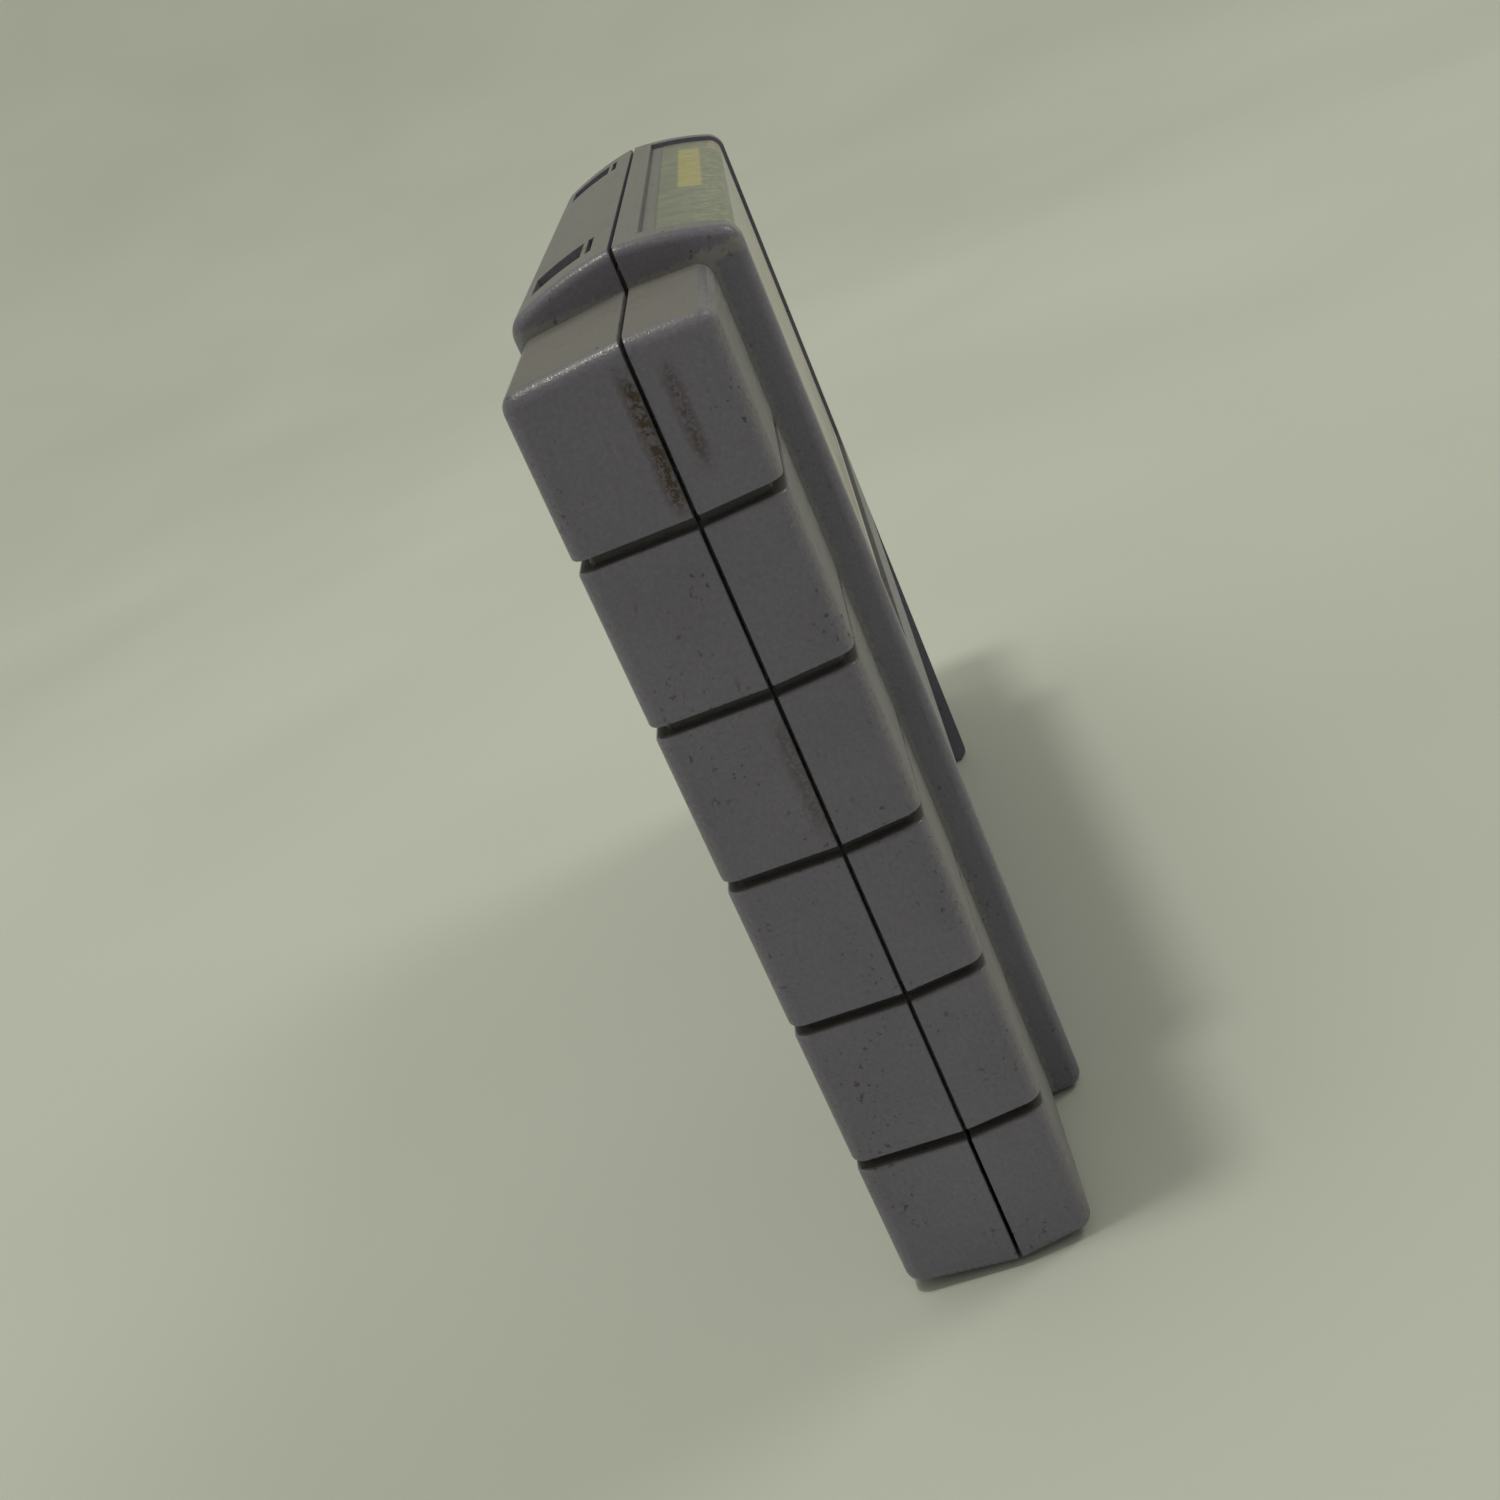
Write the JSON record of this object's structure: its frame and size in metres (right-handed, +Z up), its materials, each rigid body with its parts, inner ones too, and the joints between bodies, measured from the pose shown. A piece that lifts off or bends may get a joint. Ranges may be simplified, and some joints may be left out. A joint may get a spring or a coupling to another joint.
{
  "type": "game cartridge",
  "caption": "Wide console game cartridge: two-part moulded case with ribbed side wings, wrap-over label, screws, circuit board and backup battery, open connector mouth below.",
  "frame": {"origin": "centre of the bounding box on the bottom plane, the cartridge standing on its connector edge", "axes": "+X across the width to the right as seen from the label side, +Y from the label side to the back, +Z up"},
  "size_m": [0.136, 0.02, 0.087],
  "materials": {
    "case_plastic": "fine spark-eroded texture, warm mid grey",
    "label_paper": "printed label under a clear film",
    "plain_paper": "plain grey label stock",
    "screw_steel": "zinc plated",
    "board_laminate": "green solder mask on glass laminate",
    "chip_epoxy": "moulded epoxy",
    "cell_steel": "nickel plated steel",
    "tab_nickel": "nickel strip",
    "capacitor_sleeve": "shrunk sleeve",
    "ceramic_body": "dipped ceramic",
    "resistor_body": "lacquered film resistor",
    "diode_glass": "amber glass"
  },
  "bodies": {
    "root": {"front_shell": "case_plastic", "rear_shell": "case_plastic", "front_label": "label_paper", "rear_label": "plain_paper", "security_screw_left": "screw_steel", "security_screw_right": "screw_steel", "circuit_board": "board_laminate", "program_rom_chip": "chip_epoxy", "save_ram_chip": "chip_epoxy", "lockout_chip": "chip_epoxy", "address_decoder_chip": "chip_epoxy", "save_battery": "cell_steel", "battery_tab_positive": "tab_nickel", "battery_tab_negative": "tab_nickel", "filter_capacitor": "capacitor_sleeve", "ceramic_capacitor_1": "ceramic_body", "ceramic_capacitor_2": "ceramic_body", "ceramic_capacitor_3": "ceramic_body", "ceramic_capacitor_4": "ceramic_body", "resistor_1": "resistor_body", "resistor_2": "resistor_body", "resistor_3": "resistor_body", "diode_1": "diode_glass", "diode_2": "diode_glass"}
  },
  "joints": []
}
